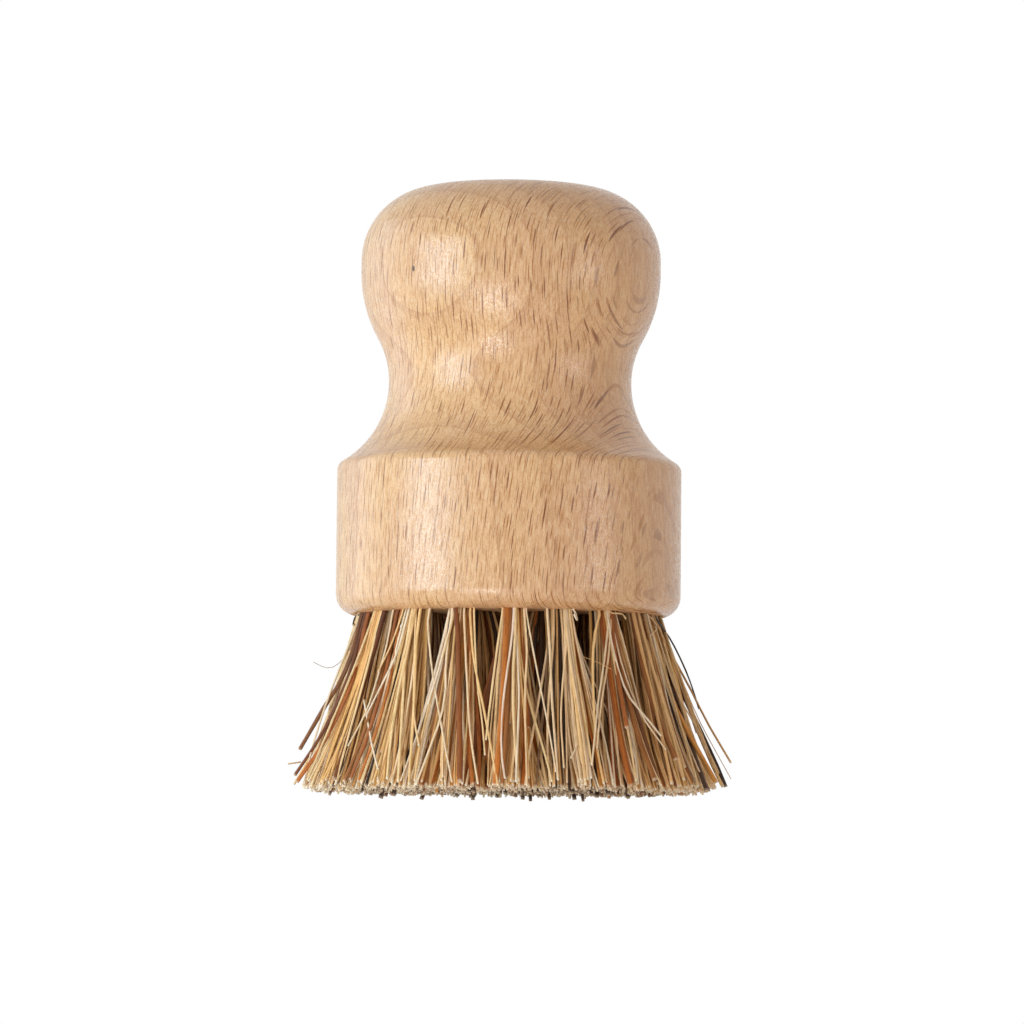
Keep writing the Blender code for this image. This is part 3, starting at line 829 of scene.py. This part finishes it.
def grown_lines(ring, mouth, down, names, spot, chance):
    """The middle line of each fibre of a tuft, from inside its hole to its cut end."""
    count = len(names)
    out = unit(np.array([mouth[0], mouth[1], 0.0]))
    across = np.array([-out[1], out[0], 0.0])
    lean = out * spot[:, :1] + across * spot[:, 1:]
    root = mouth + lean * START_REACH - down * START_DEPTH
    tip = cut_tips(ring, mouth, out, across, names, spot, chance)
    chord = unit(tip - root)
    total = np.linalg.norm(tip - root, axis=1, keepdims=True)
    start = unit(down + lean * ROOT_LEAN[ring])
    flare = chance.normal(FLARE, FLARE_VARIES, (count, 1)) * FLARE_SHARE[ring]
    finish = unit(chord + out * flare + across * chance.normal(0, SWAY_VARIES, (count, 1)))
    stop = np.ones(count)
    short = chance.uniform(size=count) < SHORT_SHARE
    stop[short] = chance.uniform(*SHORT_REACH, short.sum())
    share = SHARES[None, :] * stop[:, None]
    lines = bezier((root, root + start * total * START_DRAW, tip - finish * total * END_DRAW, tip), share)

    wave = np.array([KIND_SHAPES[name][2] for name in names])
    phase = chance.uniform(0, 2 * math.pi, (2, count, 1))
    pace = chance.uniform(*WAVE_TURNS, (2, count, 1)) * math.pi
    size = chance.normal(0, WAVE_VARIES, (2, count, 1)) * wave[None, :, None]
    # The waves grow over the first third, because the hole holds the fibres straight.
    grow = np.minimum(1.0, share * 3.0)
    for axis, turn, speed, much in zip((out, across), phase, pace, size):
        lines += (np.sin(turn + speed * share) * much * grow)[..., None] * axis
    return lines


def cut_colours(name, colour, chance):
    """The colours of a cut end's heart and rim. Pale fibres are mostly pale through."""
    if name in PALE_KINDS:
        skin = colour * 0.80 if chance.uniform() < 0.75 else PALE_DARK_SKIN
        return PALE_HEART * chance.uniform(0.94, 1.0), skin
    return BROWN_HEART * chance.uniform(0.75, 1.05), BROWN_SKIN * chance.uniform(0.5, 1.4)


def tuft_fibres(ring, mouth, upward, mix, standing_out, chance):
    """Every fibre of a tuft: its line, radius, width over thickness, colour, and end and rim colours."""
    mouth, down = np.array(mouth), -np.array(upward)
    names, spot = mixed_by_hand(mix, FIBRES[ring], chance)
    lines = grown_lines(ring, mouth, down, names, spot, chance)
    looks = []
    for name in names:
        radii, widths, _ = KIND_SHAPES[name]
        radius, width = chance.uniform(*radii), chance.uniform(*widths)
        palette = KIND_COLOURS[name]
        colour = palette[chance.integers(len(palette))] * chance.uniform(0.82, 1.06)
        tint = 1 + chance.normal(0, 0.01, 3)
        looks.append((radius, width, colour * tint, *cut_colours(name, colour, chance)))

    # The fibres that stand out go in with the rest.
    for name, shade, radius, from_hole, (first_out, last_out), pixels in standing_out:
        prouds = np.linspace(first_out, last_out, len(pixels))
        path = [on_front(x, y, proud) for (x, y), proud in zip(pixels, prouds)]
        if from_hole:
            path.insert(0, np.array(path[0]) - down * START_DEPTH)
        lines = np.concatenate([lines, smooth_path(path)[None]])
        colour = KIND_COLOURS[name][shade]
        looks.append((radius, STANDING_WIDTH, colour, *cut_colours(name, colour, chance)))
    return (lines, *(np.array(look) for look in zip(*looks)))


def fibre_points(lines, radii, widths, chance):
    """The points of each fibre: its skin, the edge of its cut end, and the end's heart and middle."""
    count, sections = lines.shape[:2]
    forward = unit(np.gradient(lines, axis=1))
    guide = chance.normal(size=(count, 1, 3)) * (1.0, 1.0, 0.15)
    first = unit(np.cross(forward, np.broadcast_to(guide, forward.shape)))
    second = np.cross(forward, first)
    angles = np.arange(SIDES) * 2 * math.pi / SIDES
    # A fibre gets a little thinner towards its tip, and is uneven on the way.
    taper = 1.04 - 0.14 * SHARES
    knots = 1 + 0.05 * chance.normal(size=(count, sections))
    knots[:, -1] = knots[:, -2]
    flat = np.sqrt(widths)[:, None, None, None]
    ring = first[:, :, None, :] * np.cos(angles)[None, None, :, None] * flat
    ring = ring + second[:, :, None, :] * np.sin(angles)[None, None, :, None] / flat
    ring = ring * (radii[:, None] * taper * knots)[:, :, None, None]
    # The shears cut each fibre nearly square, with a small slant of its own.
    last, ahead = ring[:, -1], forward[:, -1:, :]
    slant = chance.uniform(0.0, 0.15, (count, 1, 1))
    ring[:, -1] = last - ahead * (last[..., 2:] / ahead[..., 2:]) * slant
    skin = lines[:, :, None, :] + ring
    cut, middle = skin[:, -1], lines[:, -1:, :]
    heart = middle + (cut - middle) * HEART_SHARE
    hollow = middle - ahead * (radii * HEART_HOLLOW)[:, None, None]
    return np.concatenate([skin.reshape(count, -1, 3), cut, heart, hollow], axis=1)


def fibre_faces(sections):
    """The quads and triangles of one fibre: its skin, the rim of its cut end, and the end's heart."""
    quads = []
    for section in range(sections - 1):
        for i in range(SIDES):
            j = (i + 1) % SIDES
            low, high = section * SIDES, (section + 1) * SIDES
            quads.append((low + i, high + i, high + j, low + j))
    rim = sections * SIDES
    core = rim + SIDES
    fans = []
    for i in range(SIDES):
        j = (i + 1) % SIDES
        quads.append((rim + i, core + i, core + j, rim + j))
        fans.append((core + i, core + SIDES, core + j))
    return np.array(quads), np.array(fans)


def fibre_shades(sections, colours, ends, rims, chance):
    """The colour of each point of each fibre."""
    count = len(colours)
    rim = sections * SIDES
    core = rim + SIDES
    drift = 1 + 0.07 * chance.normal(size=(count, sections))
    drift = (drift + np.roll(drift, 1, axis=1) + np.roll(drift, -1, axis=1)) / 3
    # Painted shade darkens the skin by the root, and painted light brightens it towards the tip.
    body = colours[:, None, :] * (drift * np.interp(SHARES, *PAINTED_SHADE_AND_LIGHT_AT))[..., None]
    body = body * np.minimum(1.0, PALEST / body.max(axis=-1, keepdims=True))
    # Over the last half millimetre, bruised by the shears, the skin turns to the colour of the heart,
    # most on pale fibres.
    bruised = np.where(colours.mean(axis=1, keepdims=True) > 0.12, 0.95, 0.62)
    body[:, -1] = body[:, -1] * (1 - bruised) + ends * bruised
    shade = np.zeros((count, core + SIDES + 1, 4), np.float32)
    shade[..., 3] = 1
    shade[:, :rim, :3] = np.repeat(body, SIDES, axis=1)
    shade[:, rim:core, :3] = rims[:, None, :]
    shade[:, core : core + SIDES, :3] = ends[:, None, :]
    # Three hearts in ten get a painted shade in the middle, so that they look hollow.
    shade[:, -1, :3] = ends * np.where(chance.uniform(size=(count, 1)) < 0.3, 0.25, 1.0)
    return np.clip(shade, 0, 1)


def fibre_strips(count, sections):
    """Where each corner lies on the picture: a strip for each fibre, in two rows, its end above it."""
    angles = np.arange(SIDES) * 2 * math.pi / SIDES
    steps, sides = range(sections - 1), range(SIDES)
    across = np.array([(i, i, i + 1, i + 1) for _ in steps for i in sides]) / SIDES
    up = np.array([(s, s + 1, s + 1, s) for s in steps for _ in sides]) / (sections - 1)
    pairs = list(zip(angles, np.roll(angles, -1)))
    rim, core = 0.5, 0.5 * HEART_SHARE
    corners = [spot for a, b in pairs for spot in ((a, rim), (a, core), (b, core), (b, rim))]
    corners += [spot for a, b in pairs for spot in ((a, core), (0, 0), (b, core))]
    x = np.concatenate([across.reshape(-1), [0.5 + out * math.cos(turn) for turn, out in corners]])
    end_y = np.array([0.5 + out * math.sin(turn) for turn, out in corners])
    # Each row is half the picture's height. The strip fills most of it, and the end a little above.
    y = np.concatenate([0.01 + up.reshape(-1) * 0.45, 0.47 + end_y * 0.02])
    columns = (count + 1) // 2
    left = (np.arange(count) % columns) / columns
    foot = (np.arange(count) // columns) * 0.5
    return np.stack([left[:, None] + (0.1 + 0.8 * x)[None, :] / columns, foot[:, None] + y[None, :]], axis=-1)


def fibre_mesh(name, fibres, chance):
    """One mesh of many tapering fibres, with colours on its points and a strip of picture for each."""
    lines, radii, widths, colours, ends, rims = fibres
    count, sections = lines.shape[:2]
    points = fibre_points(lines, radii, widths, chance)
    quads, fans = fibre_faces(sections)
    starts = (np.arange(count) * points.shape[1])[:, None, None]
    corners = np.concatenate([(starts + part).reshape(count, -1) for part in (quads, fans)], axis=1)
    sizes = np.tile([4] * len(quads) + [3] * len(fans), count)

    mesh = bpy.data.meshes.new(name)
    mesh.vertices.add(count * points.shape[1])
    mesh.vertices.foreach_set("co", (points.reshape(-1) * MM).astype(np.float32))
    mesh.loops.add(corners.size)
    mesh.loops.foreach_set("vertex_index", corners.reshape(-1).astype(np.int32))
    mesh.polygons.add(len(sizes))
    mesh.polygons.foreach_set("loop_start", np.concatenate([[0], np.cumsum(sizes)[:-1]]).astype(np.int32))
    mesh.update(calc_edges=True)
    layer = mesh.color_attributes.new("fibre_colour", "FLOAT_COLOR", "POINT")
    layer.data.foreach_set("color", fibre_shades(sections, colours, ends, rims, chance).reshape(-1))
    strips = fibre_strips(count, sections).reshape(-1).astype(np.float32)
    mesh.uv_layers.new(name="OFBake").data.foreach_set("uv", strips)
    smooth = np.tile([True] * len(quads) + [False] * len(fans), count)
    mesh.polygons.foreach_set("use_smooth", smooth)
    return mesh


# How fast the veins and the blotches change across and up the picture, and the grit per metre.
VEIN_PACE = (330.0, 22.0, 1.0)
PATCH_PACE = (90.0, 34.0, 1.0)
GRIT_PACE = (4200.0, 4200.0, 2600.0)
# The veins are lighter or darker than the fibre, and blotches and grit darken it in part.
LIGHTER = (1.17, 1.15, 1.16)
DARKER = (0.79, 0.715, 0.56)
PATCH_SHARE = 0.34
# How much the shading leans outward, against 1 for the skin's own direction.
OUTWARD_LEAN = 0.8
FIBRE_IOR = 1.45
FIBRE_SPECULAR = 0.28

straw = bpy.data.materials.new("plant_fibre")
straw.use_nodes = True
tree = straw.node_tree
own = add_node("Attribute", attribute_name="fibre_colour")["Color"]
# The strip that each fibre has on the picture carries its grain, so the veins follow the fibre:
# about six of them round it, each about three millimetres long.
strip = add_node("UVMap", uv_map="OFBake")[0]
fine = vector_calc("MULTIPLY", strip, VEIN_PACE)
vein = add_node("TexNoise", {"Vector": fine, "Scale": 1.0, "Detail": 2.0, "Roughness": 0.6})["Fac"]
coarse = vector_calc("MULTIPLY", strip, PATCH_PACE)
patch = add_node("TexNoise", {"Vector": coarse, "Scale": 1.0, "Detail": 3.0, "Roughness": 0.6})["Fac"]
darker = blend(1.0, own, DARKER, "MULTIPLY")
fibre = blend(between(vein, 0.30, 0.54), darker, blend(1.0, own, LIGHTER, "MULTIPLY"))
fibre = blend(times(between(patch, 0.56, 0.74), PATCH_SHARE), fibre, darker)
# Fine grit on the skin, about a quarter of a millimetre across.
place = add_node("TexCoord")["Object"]
grit_at = vector_calc("MULTIPLY", place, GRIT_PACE)
grit = add_node("TexNoise", {"Vector": grit_at, "Scale": 1.0, "Detail": 1.0})["Fac"]
fibre = blend(times(between(grit, 0.52, 0.66), PATCH_SHARE), fibre, darker)
# Light soaks through such thin fibres and evens out their two sides, so the shading leans outward,
# away from the brush's middle.
facing = add_node("NewGeometry")["Normal"]
outward = vector_calc("NORMALIZE", vector_calc("MULTIPLY", place, (1.0, 1.0, 0.0)))
leaning = vector_calc("MULTIPLY_ADD", outward, (OUTWARD_LEAN,) * 3, facing)
leaning = vector_calc("NORMALIZE", leaning)
veined = add_node("Bump", {"Strength": 0.4, "Distance": 0.04 * MM, "Height": vein, "Normal": leaning})[0]
rough = calc("MULTIPLY_ADD", vein, 0.20, 0.40)
finish = {"Base Color": fibre, "Roughness": rough, "Normal": veined}
finish |= {"IOR": FIBRE_IOR, "Specular IOR Level": FIBRE_SPECULAR}
set_inputs(tree.nodes["Principled BSDF"], finish)

for number, (ending, mouth, upward) in enumerate(hole_axes()):
    chance = np.random.default_rng(FIRST_SEED + number)
    ring = ending.split("_")[0]
    # Hidden tufts take the darker inside mix, a painted shade between the tufts.
    mix = TUFT_MIX.get(ending, "mixed" if ring == "outer" else "inside")
    fibres = tuft_fibres(ring, mouth, upward, mix, STANDING_OUT.get(ending, []), chance)
    mesh = fibre_mesh(f"fibres_{ending}", fibres, chance)
    mesh.materials.append(straw)
    tuft = placed(f"fibres_{ending}", mesh)
    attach(tuft, "root")
    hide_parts(f"tuft_{ending}")
